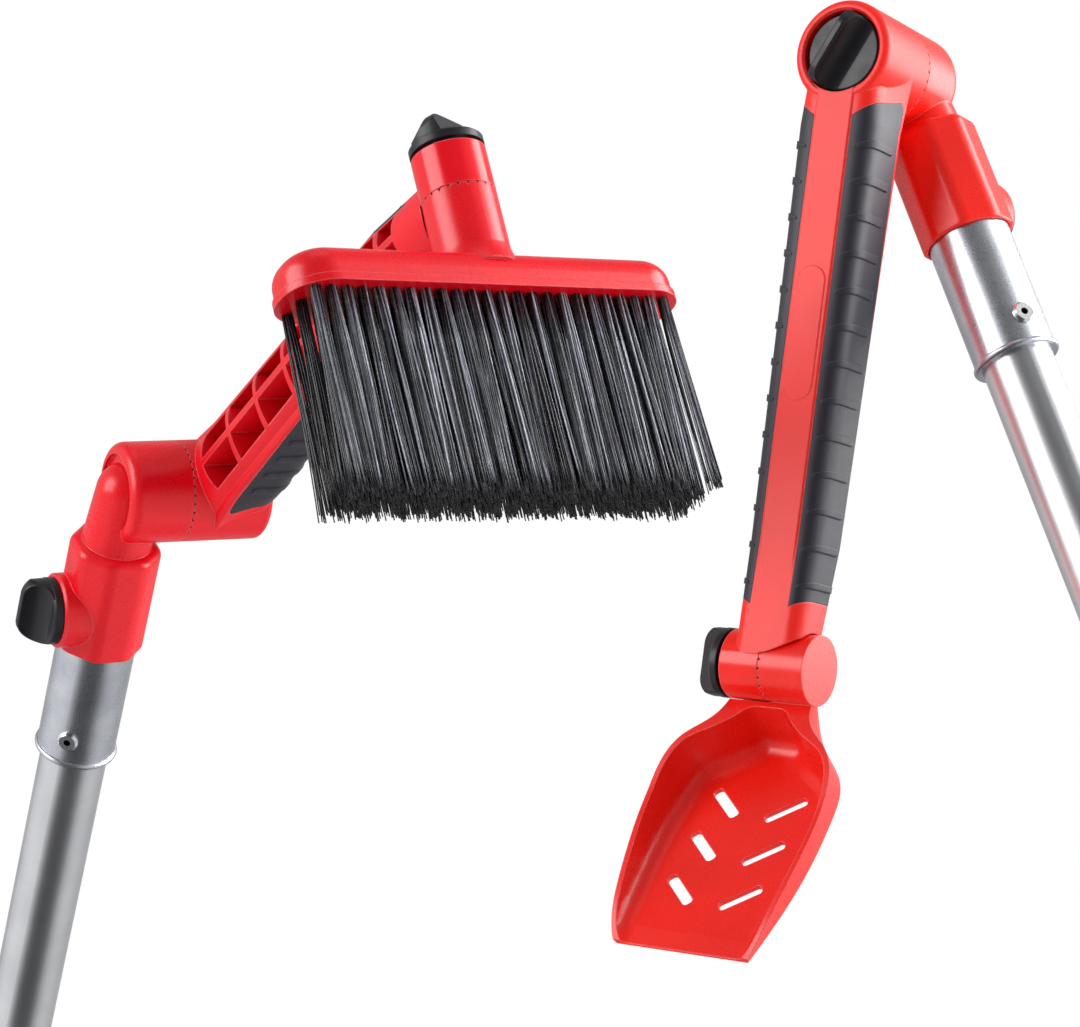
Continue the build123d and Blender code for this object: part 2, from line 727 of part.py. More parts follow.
def brush_block():
    body = block_slab(block_top, block_bottom - flange_height, block_inset)
    body = fillet(end_edges(body, Axis.Y, last=False), block_round)
    body += block_slab(block_bottom - flange_height, block_bottom, 0)
    flare_start = block_top - stem_flare_height
    flare = loft([Plane.XZ.offset(-flare_start) * Circle(wrist_radius - 0.2),
                  Plane.XZ.offset(-block_top) * Circle(wrist_radius + 0.7),
                  Plane.XZ.offset(-block_top - block_round / 2) * Circle(stem_flare_radius)])
    flare &= block_slab(flare_start - 1, block_bottom, block_inset)
    return body + flare + wrist_half(-block_top - block_round / 2) - wrist_bolt()


def bristle_section(distance, spread, lean):
    outline = Rectangle(block_width - 2 * bristle_side_margin + 2 * spread,
                        block_length - 2 * bristle_end_margin + 2 * spread)
    return Plane.XZ.offset(-distance) * (Pos(0, block_shift + lean) * outline)


def brush_bristles():
    """The space that the tufts of bristles fill, as one solid."""
    return loft([bristle_section(block_bottom, 0, 0),
                 bristle_section(block_bottom + bristle_length, bristle_spread, bristle_lean)])


def plan_face(plan, level, depth):
    """One level of a plan: two curved sides and straight ends, at a depth."""
    right = [(row[level], row[0]) for row in plan]
    left = [(-y, z) for y, z in right]
    face = make_face([Spline(*right), Spline(*left), Line(left[0], right[0]),
                      Line(right[-1], left[-1])])
    return Plane.YZ.offset(depth) * face


def flared(plan):
    """The space between the two levels of a plan, from the wrist axis to the underside."""
    underside = scoop_floor + scoop_floor_thickness
    return loft([plan_face(plan, 2, 0), plan_face(plan, 1, underside)], ruled=True)


def scoop_side_profile():
    """The scoop's side view in the XZ plane, from neck to lip."""
    underside = scoop_floor + scoop_floor_thickness
    rim = [(depth, reach) for reach, depth in scoop_rim]
    heel = (underside, heel_start)
    lip_tip = (scoop_floor + lip_drop + lip_edge, scoop_front)
    outline = Polyline(rim[-1], (rim[-1][0], 0), (neck_underside, 0), heel,
                       (underside, scoop_front - lip_length), lip_tip, rim[0])
    return rounded(make_face([Spline(*rim), outline]), heel, heel_round)


def scoop_cavity():
    """The space inside the scoop, blended where its walls meet its floor."""
    foot = (scoop_floor, neck_back)
    bend, far = scoop_front - lip_length, scoop_front + 2 * lip_length
    profile = Polygon((1, neck_back), foot, (scoop_floor, bend),
                      (scoop_floor + 3 * lip_drop, far), (1, far), align=None)
    profile = rounded(profile, foot, foot_round)
    cavity = flared(cavity_plan) & across(profile)
    deep = [edge for edge in cavity.edges()
            if edge.center().X > scoop_floor - foot_round and abs(edge.center().Y) > 5
            and abs(edge.tangent_at(0.5).X) < 0.9]
    return fillet(deep, floor_round)


def drain_slots():
    """Cutters for the slanted slots in the floor, three on either side."""
    outline = RectangleRounded(slot_length, slot_width, slot_corner)
    slot = extrude(Plane.YZ.offset(scoop_floor - 1) * outline,
                   amount=scoop_floor_thickness + 2)
    return [Pos(0, side * slot_offset, slot_first + row * slot_pitch) *
            (Rot(-side * (90 - slot_tilt), 0, 0) * slot)
            for row in range(slot_rows) for side in (-1, 1)]


def scoop_blade():
    body = flared(scoop_plan) & across(scoop_side_profile())
    body -= scoop_cavity()
    body = body.cut(*drain_slots())
    body -= rod(along_knob, wrist_seam - seam_gap, 3 * wrist_radius,
                wrist_radius + saddle_gap)
    body -= rod(along_knob, -3 * wrist_radius, wrist_seam, wrist_radius - 0.5)
    return body + wrist_half(-wrist_drum_end) - wrist_bolt()


# ---- the two tools ----------------------------------------------------------
# Each shape is drawn once in its own frame and placed twice, once per tool.
pole_pieces = {
    "pole_tube": at_pole_axis(drilled(pole_tube())),
    "pole_ferrule": at_pole_axis(drilled(pole_ferrule())),
    "ferrule_rivets": at_pole_axis(ferrule_rivets()),
    "pole_grip": at_pole_axis(pole_grip()),
    "pole_end_cap": at_pole_axis(pole_end_cap()),
    "socket_elbow": socket_elbow(),
    "clamp_insert": clamp_insert(),
    "clamp_pad": clamp_pad(),
    "clamp_knob": clamp_knob(),
    "shoulder_bolt": shoulder_bolt(),
}
arm_pieces = {
    "shoulder_washer": shoulder_washer(),
    "shoulder_knob": shoulder_knob(),
    "arm_core": arm_core(),
    "arm_grip_left": arm_grip(-1),
    "arm_grip_right": arm_grip(1),
    "wrist_washer": at_wrist(wrist_washer()),
}
wrist_pieces = {"wrist_knob": wrist_knob()}
brush_head = {"wrist_bolt": wrist_bolt(), "block": brush_block(), "bristles": brush_bristles()}
scoop_head = {"wrist_bolt": wrist_bolt(), "blade": scoop_blade()}


def export_tool(tool, head_pieces):
    """Write every sub-part of one tool, placed in the set's own frame."""
    groups = ((tool.pole_frame(), pole_pieces), (tool.arm_frame(), arm_pieces),
              (tool.knob_frame(), wrist_pieces), (tool.head_frame(), head_pieces))
    for frame, pieces in groups:
        for name, shape in pieces.items():
            export_step(frame * shape, f"parts/{tool.name}_{name}.step")


export_tool(brush_tool, brush_head)
export_tool(scoop_tool, scoop_head)
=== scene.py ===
"""Looks of a set of two snow tools: a brush and a slotted scoop on jointed arms.

The solids arrive in their places. This script gives each of them its finish, grows
the brush's filaments, and sets the camera, the floor and the light. Lengths are
metres in the set's own frame: +X right, +Y away from the camera, +Z up.
"""

import json
import logging
import math
import random
from abc import ABC, abstractmethod
from dataclasses import dataclass, field
from enum import Enum
from typing import Any, Protocol

import bmesh
import bpy
from mathutils import Matrix, Vector

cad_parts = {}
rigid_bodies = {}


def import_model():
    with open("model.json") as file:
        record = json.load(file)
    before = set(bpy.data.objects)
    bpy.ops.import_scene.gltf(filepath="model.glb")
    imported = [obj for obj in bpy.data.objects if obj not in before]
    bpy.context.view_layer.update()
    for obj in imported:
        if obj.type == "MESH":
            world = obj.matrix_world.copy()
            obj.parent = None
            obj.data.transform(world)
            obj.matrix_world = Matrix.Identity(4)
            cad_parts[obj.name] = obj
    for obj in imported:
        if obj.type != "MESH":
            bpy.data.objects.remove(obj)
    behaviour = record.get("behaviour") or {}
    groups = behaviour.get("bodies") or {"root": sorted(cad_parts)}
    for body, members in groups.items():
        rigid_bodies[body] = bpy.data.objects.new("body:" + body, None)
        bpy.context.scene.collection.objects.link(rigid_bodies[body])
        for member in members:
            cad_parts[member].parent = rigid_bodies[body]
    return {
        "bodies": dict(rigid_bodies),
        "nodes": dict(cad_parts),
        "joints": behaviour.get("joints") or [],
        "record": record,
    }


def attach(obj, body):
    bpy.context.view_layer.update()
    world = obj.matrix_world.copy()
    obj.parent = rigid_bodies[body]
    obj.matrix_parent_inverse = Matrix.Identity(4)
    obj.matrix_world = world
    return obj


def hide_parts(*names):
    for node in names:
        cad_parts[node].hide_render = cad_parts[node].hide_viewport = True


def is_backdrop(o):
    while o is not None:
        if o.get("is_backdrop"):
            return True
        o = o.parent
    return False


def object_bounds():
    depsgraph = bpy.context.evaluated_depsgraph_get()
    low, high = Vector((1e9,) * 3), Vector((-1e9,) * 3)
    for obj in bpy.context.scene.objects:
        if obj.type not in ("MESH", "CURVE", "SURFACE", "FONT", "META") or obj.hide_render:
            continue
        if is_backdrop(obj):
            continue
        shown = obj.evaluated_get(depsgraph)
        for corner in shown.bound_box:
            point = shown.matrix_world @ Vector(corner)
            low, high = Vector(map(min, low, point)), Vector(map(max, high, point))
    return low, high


log = logging.getLogger("snow_tools")

MILLIMETRE = 0.001

Colour = tuple[float, float, float]
Span = tuple[float, float]
Spot = tuple[float, float]
Frame = dict[str, Any]
Socket = bpy.types.NodeSocket

WHITE: Colour = (1.0, 1.0, 1.0)
RED_OF_BRUSH: Colour = (0.78, 0.001, 0.010)
RED_OF_SCOOP: Colour = (0.92, 0.014, 0.007)

# The part of a noise's values that a ramp draws out to its whole range.
MIDDLE_OF_NOISE: Span = (0.3, 0.7)
# The heights of the mould grain between which the roughness changes.
GRAIN_HEIGHTS: Span = (0.2, 0.9)
# The golden angle as a share of half a turn, which spreads points over a disc.
GOLDEN_SHARE = 3 - math.sqrt(5)
# The share of a filament's height above which it counts as its tip.
TIP_RISE = 0.99


class Side(Enum):
    """The two tools of the set."""

    BRUSH = "brush"
    SCOOP = "scoop"


# ---- places -----------------------------------------------------------------
def axes_matrix(origin: Vector, x_axis: Vector, z_axis: Vector) -> Matrix:
    """A right-handed place from an origin and two axes.

    Args:
        origin: where the place's own zero lies.
        x_axis: the exact direction of its X axis.
        z_axis: roughly the direction of its Z axis.

    Returns:
        The matrix that takes the place's coordinates to the set's frame.
    """
    x_axis = x_axis.normalized()
    z_axis = (z_axis - x_axis * z_axis.dot(x_axis)).normalized()
    y_axis = z_axis.cross(x_axis)
    turn = Matrix((x_axis, y_axis, z_axis)).transposed()
    return Matrix.Translation(origin) @ turn.to_4x4()


@dataclass(frozen=True)
class Places:
    """The frames of one tool's pole, arm and head, read from its joints."""

    pole: Matrix
    arm: Matrix
    wrist: Matrix
    head: Matrix

    @classmethod
    def read(cls, frame: Frame, side: Side, head_angle: float) -> "Places":
        """Read the frames of one tool.

        Args:
            side: which tool.
            head_angle: turn of the head about the wrist axis, in degrees.

        Returns:
            The tool's places.
        """
        joints = {joint["name"]: joint for joint in frame["joints"]}
        swivel = joints[f"{side.value}_pole_swivel"]
        shoulder = joints[f"{side.value}_shoulder"]
        wrist = joints[f"{side.value}_wrist"]
        shoulder_axis = Vector(shoulder["axis"])
        shoulder_point = Vector(shoulder["pos_m"])
        wrist_point = Vector(wrist["pos_m"])
        pole = axes_matrix(Vector(swivel["pos_m"]), shoulder_axis, Vector(swivel["axis"]))
        arm = axes_matrix(shoulder_point, shoulder_axis, wrist_point - shoulder_point)
        at_wrist = Matrix.Translation(wrist_point) @ arm.to_3x3().to_4x4()
        head = at_wrist @ Matrix.Rotation(math.radians(-head_angle), 4, "Y")
        return cls(pole, arm, at_wrist, head)


# ---- node trees -------------------------------------------------------------
class Tree:
    """A short way to write a shader tree or a node group."""

    def __init__(self, tree: bpy.types.NodeTree) -> None:
        """Start from an empty tree."""
        self.tree = tree
        self.tree.nodes.clear()

    def node(self, kind: str, settings: dict[str, Any] | None = None,
             **inputs: Any) -> bpy.types.Node:
        """Add a node.

        Args:
            kind: the node's type, without the ShaderNode prefix.
            settings: properties of the node.
            **inputs: socket names with spaces as underscores; a socket is linked
                and anything else is the socket's own value.

        Returns:
            The new node.
        """
        made = self.tree.nodes.new("ShaderNode" + kind)
        for name, value in (settings or {}).items():
            setattr(made, name, value)
        for name, value in inputs.items():
            self.feed(made.inputs[name.replace("_", " ")], value)
        return made

    def feed(self, socket: Socket, value: Any) -> None:
        """Link a socket to another, or set its own value."""
        if isinstance(value, bpy.types.NodeSocket):
            self.tree.links.new(value, socket)
        elif isinstance(value, tuple) and len(value) == 3 and socket.type == "RGBA":
            socket.default_value = (*value, 1.0)
        else:
            socket.default_value = value

    def math(self, operation: str, *values: Any) -> Socket:
        """A Math node on one to three values; returns its output."""
        made = self.node("Math", {"operation": operation})
        for socket, value in zip(made.inputs, values):
            self.feed(socket, value)
        return made.outputs[0]

    def ramp(self, value: Socket, low: float, high: float, to_low: float = 0.0,
             to_high: float = 1.0) -> Socket:
        """A smooth, clamped map of one span of values to another; returns its output."""
        made = self.node("MapRange", {"interpolation_type": "SMOOTHSTEP"}, Value=value,
                         From_Min=low, From_Max=high, To_Min=to_low, To_Max=to_high)
        return made.outputs["Result"]

    def blend(self, mask: Any, first: Any, second: Any) -> Socket:
        """A colour between two colours by a mask; returns its output."""
        made = self.node("Mix", {"data_type": "RGBA"})
        self.feed(made.inputs[0], mask)
        self.feed(made.inputs[6], first)
        self.feed(made.inputs[7], second)
        return made.outputs[2]

    def noise(self, vector: Socket, scale: Any, detail: float,
              roughness: float = 0.5) -> Socket:
        """A noise value from 0 to 1 at a scale per metre; returns its output."""
        made = self.node("TexNoise", Vector=vector, Scale=scale, Detail=detail,
                         Roughness=roughness)
        return made.outputs["Fac"]

    def local(self, place: Matrix, stretch: Vector | None = None) -> Socket:
        """Object coordinates turned into a place's own; returns the vector.

        Args:
            place: the place whose coordinates are wanted.
            stretch: a scale for each of the place's axes, to draw a pattern out.

        Returns:
            The coordinates' socket.
        """
        inverse = place.inverted()
        coordinates = self.node("TexCoord").outputs["Object"]
        turned = self.node("Mapping", Vector=coordinates)
        turned.inputs["Location"].default_value = inverse.to_translation()
        turned.inputs["Rotation"].default_value = inverse.to_euler("XYZ")
        if stretch is None:
            return turned.outputs["Vector"]
        drawn = self.node("Mapping", Vector=turned.outputs["Vector"])
        drawn.inputs["Scale"].default_value = stretch
        return drawn.outputs["Vector"]


class Group(Tree):
    """A node group's tree with its Group Input and Group Output in place."""

    def __init__(self, name: str, inputs: dict[str, tuple[str, Any]],
                 outputs: dict[str, str]) -> None:
        """Make the group with its sockets and its two end nodes.

        Args:
            name: the group's name.
            inputs: each input's kind and first value.
            outputs: each output's kind.
        """
        made = bpy.data.node_groups.new(name, "ShaderNodeTree")
        for label, (kind, value) in inputs.items():
            socket = made.interface.new_socket(label, in_out="INPUT",
                                               socket_type="NodeSocket" + kind)
            if value is not None:
                socket.default_value = value
        for label, kind in outputs.items():
            made.interface.new_socket(label, in_out="OUTPUT", socket_type="NodeSocket" + kind)
        super().__init__(made)
        self.given = made.nodes.new("NodeGroupInput").outputs
        self.results = made.nodes.new("NodeGroupOutput").inputs


class Effects:
    """Surface effects that several finishes share, each one node group."""

    # The mould grain's height: its fine noise and its pits.
    FINE_SHARE = 0.7
    PIT_SHARE = 0.45
    # The edge mask: how far the rounded normal has turned from the plain one.
    EDGE_SAMPLES = 6
    EDGE_FACING: Span = (0.998, 0.90)
    # The noise that breaks the edge mask up, and what is left of it.
    WEAR_SCALE = 420.0
    WEAR_NOISE: Span = (0.25, 0.7)
    WEAR_STRENGTH: Span = (0.45, 1.0)

    def __init__(self) -> None:
        """Build every group once."""
        self.moulded = self._moulded()
        self.wear_and_highlight_edge = self._wear_and_highlight_edge()
        self.drawn_metal = self._drawn_metal()

    def _moulded(self) -> bpy.types.NodeTree:
        """Spark-eroded mould grain, with slow waves of flow and tone."""
        group = Group(
            "moulded_grain",
            {"Vector": ("Vector", None), "Grain": ("Float", 2200.0), "Flow": ("Float", 22.0)},
            {"Height": "Float", "Tone": "Float"})
        vector, scale = group.given["Vector"], group.given["Grain"]
        fine = group.noise(vector, scale, detail=3.0)
        pits = group.node("TexVoronoi", {"feature": "SMOOTH_F1"}, Vector=vector, Scale=scale)
        flow = group.noise(vector, group.given["Flow"], detail=3.0)
        rough = group.math("MULTIPLY", fine, self.FINE_SHARE)
        pitted = group.math("MULTIPLY_ADD", pits.outputs["Distance"], self.PIT_SHARE, rough)
        group.feed(group.results["Height"], pitted)
        group.feed(group.results["Tone"], group.ramp(flow, *MIDDLE_OF_NOISE))
        return group.tree

    def _wear_and_highlight_edge(self) -> bpy.types.NodeTree:
        """A mask of the outer and inner edges, broken up by fine noise."""
        group = Group(
            "wear_and_highlight_edge",
            {"Vector": ("Vector", None), "Radius": ("Float", 0.0005)},
            {"Mask": "Float", "Normal": "Vector"})
        rounded = group.node("Bevel", {"samples": self.EDGE_SAMPLES},
                             Radius=group.given["Radius"]).outputs["Normal"]
        facing = group.node("VectorMath", {"operation": "DOT_PRODUCT"})
        group.feed(facing.inputs[0], rounded)
        group.feed(facing.inputs[1], group.node("NewGeometry").outputs["Normal"])
        edge = group.ramp(facing.outputs["Value"], *self.EDGE_FACING)
        wear = group.noise(group.given["Vector"], self.WEAR_SCALE, detail=4.0)
        broken = group.ramp(wear, *self.WEAR_NOISE, *self.WEAR_STRENGTH)
        group.feed(group.results["Mask"], group.math("MULTIPLY", edge, broken))
        group.feed(group.results["Normal"], rounded)
        return group.tree

    def _drawn_metal(self) -> bpy.types.NodeTree:
        """Lengthwise drawing lines with scattered specks of plating."""
        group = Group(
            "drawn_metal",
            {"Along": ("Vector", None), "Vector": ("Vector", None), "Speck": ("Float", 1500.0)},
            {"Lines": "Float", "Specks": "Float"})
        lines = group.noise(group.given["Along"], 1.0, detail=4.0, roughness=0.6)
        specks = group.noise(group.given["Vector"], group.given["Speck"], detail=4.0,
                             roughness=0.7)
        group.feed(group.results["Lines"], lines)
        group.feed(group.results["Specks"], specks)
        return group.tree


# ---- finishes ---------------------------------------------------------------
class Surface(Tree):
    """A material's tree with its Principled shader and output in place."""

    def __init__(self, label: str) -> None:
        """Make the material and its two end nodes."""
        self.material = bpy.data.materials.new(label)
        self.material.use_nodes = True
        super().__init__(self.material.node_tree)
        self.shader = self.node("BsdfPrincipled")
        self.end = self.node("OutputMaterial")
        self.feed(self.end.inputs["Surface"], self.shader.outputs["BSDF"])
        self.coordinates = self.node("TexCoord").outputs["Object"]

    def group(self, made: bpy.types.NodeTree, **inputs: Any) -> bpy.types.Node:
        """Place a shared effect in this material with its own values."""
        return self.node("Group", {"node_tree": made}, Vector=self.coordinates, **inputs)

    def grain(self, effects: Effects, scale: float, flow: float) -> tuple[Socket, Socket]:
        """The mould grain, by the scales of its grain and its flow; its height and tone."""
        made = self.group(effects.moulded, Grain=scale, Flow=flow).outputs
        return made["Height"], made["Tone"]

    def edge(self, effects: Effects, radius: float) -> tuple[Socket, Socket]:
        """The edges within a radius, for wear and for painted edge highlights; their mask and
        the rounded normal.
        """
        made = self.group(effects.wear_and_highlight_edge, Radius=radius).outputs
        return made["Mask"], made["Normal"]

    def set(self, **values: Any) -> None:
        """Feed the shader's own sockets."""
        for name, value in values.items():
            self.feed(self.shader.inputs[name.replace("_", " ")], value)

    def bump(self, height: Socket, depth: float, strength: float = 1.0,
             over: Socket | None = None) -> Socket:
        """A bump from a height of 0 to 1; returns the normal.

        Args:
            height: the height's socket.
            depth: what a height of 1 is, in metres.
            strength: how much of it is felt.
            over: a normal that it lies on.

        Returns:
            The bumped normal's socket.
        """
        made = self.node("Bump", Height=height, Distance=depth, Strength=strength)
        if over is not None:
            self.feed(made.inputs["Normal"], over)
        return made.outputs["Normal"]


class Finish(Protocol):
    """What every finish can do."""

    def make(self, label: str, effects: Effects) -> bpy.types.Material:
        """Build the material; label is its name and effects the shared ones."""


@dataclass(frozen=True)
class MouldedPlastic:
    """Moulded plastic with a fine grain, and a painted highlight that pales its edges."""

    colour: Colour
    roughness: float
    smoother: float = 0.06
    rougher: float = 0.08
    grain: float = 2200.0
    grain_depth: float = 0.000011
    flow: float = 22.0
    tone_drop: float = 0.86
    # Painted highlight: how far the edges are paled towards white.
    painted_edge_highlight: float = 0.16
    edge_radius: float = 0.0006
    coat: float = 0.06
    coat_roughness: float = 0.22
    specular: float = 0.4
    polished: Matrix | None = None
    polished_radius: float = 12.3 * MILLIMETRE
    polished_fade: float = 0.3 * MILLIMETRE
    polished_roughness: float = 0.20
    grain_lost: float = 0.85

    def make(self, label: str, effects: Effects) -> bpy.types.Material:
        """Build the material.

        Args:
            label: the material's name.
            effects: the shared effects.

        Returns:
            The material.
        """
        surface = Surface(label)
        height, tone = surface.grain(effects, self.grain, self.flow)
        edge, rounded = surface.edge(effects, self.edge_radius)
        deep = tuple(channel * self.tone_drop for channel in self.colour)
        # Painted highlight: the edge mask pales the edges towards white.
        pale = tuple(channel + (1 - channel) * self.painted_edge_highlight for channel in self.colour)
        colour = surface.blend(edge, surface.blend(tone, deep, self.colour), pale)
        matt = surface.ramp(height, *GRAIN_HEIGHTS,
                            self.roughness - self.smoother, self.roughness + self.rougher)
        roughness, strength = matt, 1.0
        if self.polished is not None:
            drum = self.polished_mask(surface)
            made = surface.node("Mix", {"data_type": "FLOAT"})
            surface.feed(made.inputs[0], drum)
            surface.feed(made.inputs[2], matt)
            surface.feed(made.inputs[3], self.polished_roughness)
            roughness = made.outputs[0]
            strength = surface.math("MULTIPLY_ADD", drum, -self.grain_lost, 1.0)
        surface.set(Base_Color=colour, Roughness=roughness,
                    Normal=surface.bump(height, self.grain_depth, strength, rounded),
                    Coat_Weight=self.coat, Coat_Roughness=self.coat_roughness,
                    Specular_IOR_Level=self.specular, IOR=1.5)
        return surface.material

    def polished_mask(self, surface: Surface) -> Socket:
        """A mask of the drum that lies about the polished place's Y axis."""
        split = surface.node("SeparateXYZ", Vector=surface.local(self.polished))
        across = surface.math("POWER", split.outputs["X"], 2.0)
        along = surface.math("POWER", split.outputs["Z"], 2.0)
        reach = surface.math("SQRT", surface.math("ADD", across, along))
        return surface.ramp(reach, self.polished_radius + self.polished_fade,
                            self.polished_radius)


@dataclass(frozen=True)
class GripRubber:
    """Soft dark rubber with a dry grain and rubbed, greyer ridges."""

    colour: Colour = (0.017, 0.016, 0.028)
    rubbed: Colour = (0.075, 0.074, 0.090)
    rub_strength: float = 0.55
    tone_drop: float = 0.8
    roughness: float = 0.48
    smoother: float = 0.05
    rougher: float = 0.1
    grain: float = 2600.0
    grain_depth: float = 0.00005
    flow: float = 35.0
    edge_radius: float = 0.0007
    sheen: float = 0.04
    sheen_roughness: float = 0.5

    def make(self, label: str, effects: Effects) -> bpy.types.Material:
        """Build the material; label is its name and effects the shared ones."""
        surface = Surface(label)
        height, tone = surface.grain(effects, self.grain, self.flow)
        edge, rounded = surface.edge(effects, self.edge_radius)
        dark = tuple(channel * self.tone_drop for channel in self.colour)
        body = surface.blend(tone, dark, self.colour)
        rub = surface.math("MULTIPLY", edge, self.rub_strength)
        roughness = surface.ramp(height, *GRAIN_HEIGHTS, self.roughness - self.smoother,
                                 self.roughness + self.rougher)
        surface.set(Base_Color=surface.blend(rub, body, self.rubbed), Roughness=roughness,
                    Normal=surface.bump(height, self.grain_depth, 1.0, rounded),
                    Sheen_Weight=self.sheen, Sheen_Roughness=self.sheen_roughness)
        return surface.material


@dataclass(frozen=True)
class PlatedMetal:
    """Bright metal with lines along the tool, fine specks and a faint cloud."""

    place: Matrix
    colour: Colour
    shade: Colour
    roughness: float
    roughness_span: float = 0.1
    speck: float = 1500.0
    speck_depth: float = 0.000012
    line_depth: float = 0.00001
    lines_per_metre: float = 900.0
    line_length: float = 0.08
    cloud: float = 60.0
    cloud_values: Span = (0.75, 1.25)
    seam_radius: float = 0.0
    seam_turn: float = 0.0
    seam_height: float = 0.00012
    seam_edge: Span = (0.00032, 0.0001)
    seam_noise: float = 260.0
    seam_wander: float = 0.0008
    seam_strength: float = 0.35
    seam_colour: Colour = (0.95, 0.95, 0.97)

    def make(self, label: str, effects: Effects) -> bpy.types.Material:
        """Build the material; label is its name and effects the shared ones."""
        surface = Surface(label)
        stretch = Vector((self.lines_per_metre, self.lines_per_metre, 1 / self.line_length))
        drawn = surface.group(effects.drawn_metal, Speck=self.speck,
                              Along=surface.local(self.place, stretch)).outputs
        cloud = surface.noise(surface.coordinates, self.cloud, detail=3.0)
        tone = surface.ramp(surface.math("ADD", cloud, drawn["Specks"]), *self.cloud_values)
        roughness = surface.ramp(drawn["Specks"], *MIDDLE_OF_NOISE, self.roughness,
                                 self.roughness + self.roughness_span)
        lines = surface.bump(drawn["Lines"], self.line_depth)
        normal = surface.bump(drawn["Specks"], self.speck_depth, 1.0, lines)
        colour = surface.blend(tone, self.shade, self.colour)
        if self.seam_radius:
            seam = self.seam_mask(surface)
            normal = surface.bump(seam, self.seam_height, 1.0, normal)
            colour = surface.blend(surface.math("MULTIPLY", seam, self.seam_strength), colour,
                                   self.seam_colour)
        surface.set(Base_Color=colour, Metallic=1.0, Roughness=roughness, Normal=normal)
        return surface.material

    def seam_mask(self, surface: Surface) -> Socket:
        """A mask of the welded seam that runs up one side of a rolled ferrule."""
        turned = self.place @ Matrix.Rotation(math.radians(self.seam_turn), 4, "Z")
        split = surface.node("SeparateXYZ", Vector=surface.local(turned))
        wander = surface.noise(surface.coordinates, self.seam_noise, detail=3.0)
        shift = surface.math("MULTIPLY_ADD", wander, self.seam_wander, -self.seam_wander / 2)
        offset = surface.math("ABSOLUTE", surface.math("ADD", split.outputs["Y"], shift))
        line = surface.ramp(offset, *self.seam_edge)
        return surface.math("MULTIPLY", line,
                            surface.ramp(split.outputs["X"], 0.0, self.seam_radius / 2))


@dataclass(frozen=True)
class GlossBlack:
    """Glossy black plastic of the knobs, with faint handling marks."""

    colour: Colour = (0.008, 0.008, 0.011)
    worn: Colour = (0.09, 0.09, 0.10)
    wear_strength: float = 0.3
    roughness: float = 0.36
    rougher: float = 0.1
    grain: float = 1400.0
    grain_depth: float = 0.000012
    flow: float = 90.0
    edge_radius: float = 0.0007
    specular: float = 0.35
    coat: float = 0.08
    coat_roughness: float = 0.14

    def make(self, label: str, effects: Effects) -> bpy.types.Material:
        """Build the material; label is its name and effects the shared ones."""
        surface = Surface(label)
        height, tone = surface.grain(effects, self.grain, self.flow)
        edge, rounded = surface.edge(effects, self.edge_radius)
        wear = surface.math("MULTIPLY", edge, self.wear_strength)
        surface.set(Base_Color=surface.blend(wear, self.colour, self.worn),
                    Roughness=surface.ramp(tone, 0.0, 1.0, self.roughness,
                                           self.roughness + self.rougher),
                    Normal=surface.bump(height, self.grain_depth, 1.0, rounded),
                    Specular_IOR_Level=self.specular, Coat_Weight=self.coat,
                    Coat_Roughness=self.coat_roughness)
        return surface.material


@dataclass(frozen=True)
class BristleFibre:
    """Extruded black filament; each one has a tone of its own, darkened by its row's painted
    shade, and the pale end of that tone is a painted bluish highlight.
    """

    dark: Colour = (0.006, 0.006, 0.008)
    # Painted highlight: the bluish white that the palest filaments show in place of their
    # sheen.
    pale: Colour = (0.640, 0.665, 0.780)
    patches: Span = (0.7, 1.0)
    roughness: float = 0.20
    rougher: float = 0.12
    grain: float = 900.0
    flow: float = 300.0
    specular: float = 0.6

    def make(self, label: str, effects: Effects) -> bpy.types.Material:
        """Build the material; label is its name and effects the shared ones."""
        surface = Surface(label)
        own_tone = surface.node("Attribute", {"attribute_name": "tone"}).outputs["Fac"]
        height, tone = surface.grain(effects, self.grain, self.flow)
        patch = surface.ramp(tone, 0.0, 1.0, *self.patches)
        mixed = surface.math("MULTIPLY", own_tone, patch)
        # The tone blends the black filament towards the painted bluish highlight; the back rows
        # carry painted shade.
        surface.set(Base_Color=surface.blend(mixed, self.dark, self.pale),
                    Roughness=surface.ramp(height, *GRAIN_HEIGHTS, self.roughness,
                                           self.roughness + self.rougher),
                    Specular_IOR_Level=self.specular)
        return surface.material


# ---- meshes -----------------------------------------------------------------
def object_from(bm: bmesh.types.BMesh, name: str, material: bpy.types.Material,
                smooth: bool = True) -> bpy.types.Object:
    """Turn a finished bmesh into an object at the origin.

    Args:
        bm: the mesh, which is freed.
        name: the object's name.
        material: its finish.
        smooth: whether its faces shade smoothly.

    Returns:
        The new object, linked to the scene.
    """
    for face in bm.faces:
        face.smooth = smooth
    mesh = bpy.data.meshes.new(name)
    bm.to_mesh(mesh)
    bm.free()
    mesh.materials.append(material)
    made = bpy.data.objects.new(name, mesh)
    bpy.context.scene.collection.objects.link(made)
    return made


def local_points(node: bpy.types.Object, place: Matrix) -> list[Vector]:
    """A solid's corners in a place's own coordinates."""
    inverse = place.inverted()
    return [inverse @ vertex.co for vertex in node.data.vertices]


